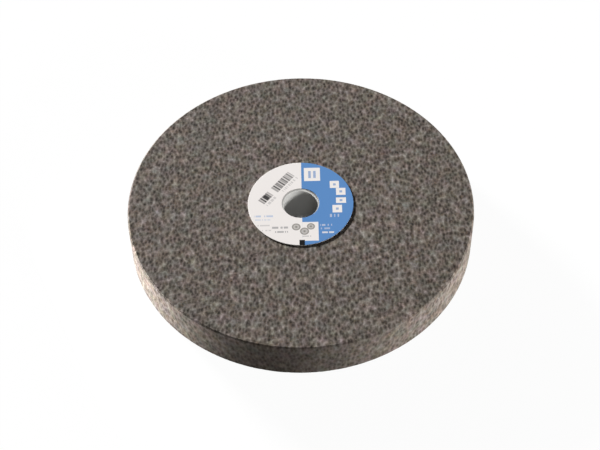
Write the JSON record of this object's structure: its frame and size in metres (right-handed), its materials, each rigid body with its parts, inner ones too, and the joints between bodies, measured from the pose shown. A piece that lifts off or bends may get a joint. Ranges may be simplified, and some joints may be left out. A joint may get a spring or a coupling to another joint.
{
  "type": "bench grinding wheel",
  "caption": "Straight bench grinding wheel of bonded abrasive, with a lined bore and a round label card glued to one side.",
  "frame": {"origin": "on the spindle axis, at the bare side face that the wheel lies on", "axes": "+Z along the bore axis, from the bare side towards the side with the label card; +Y away from the viewer of the picture, +X to the right"},
  "size_m": [0.2, 0.2, 0.0255],
  "materials": {
    "abrasive": "coarse open grain, matte",
    "lining": "smooth cast, satin",
    "card": "printed pressed card, matte"
  },
  "bodies": {
    "root": {"abrasive_wheel": "abrasive", "bore_lining": "lining", "label_card": "card"}
  },
  "joints": []
}
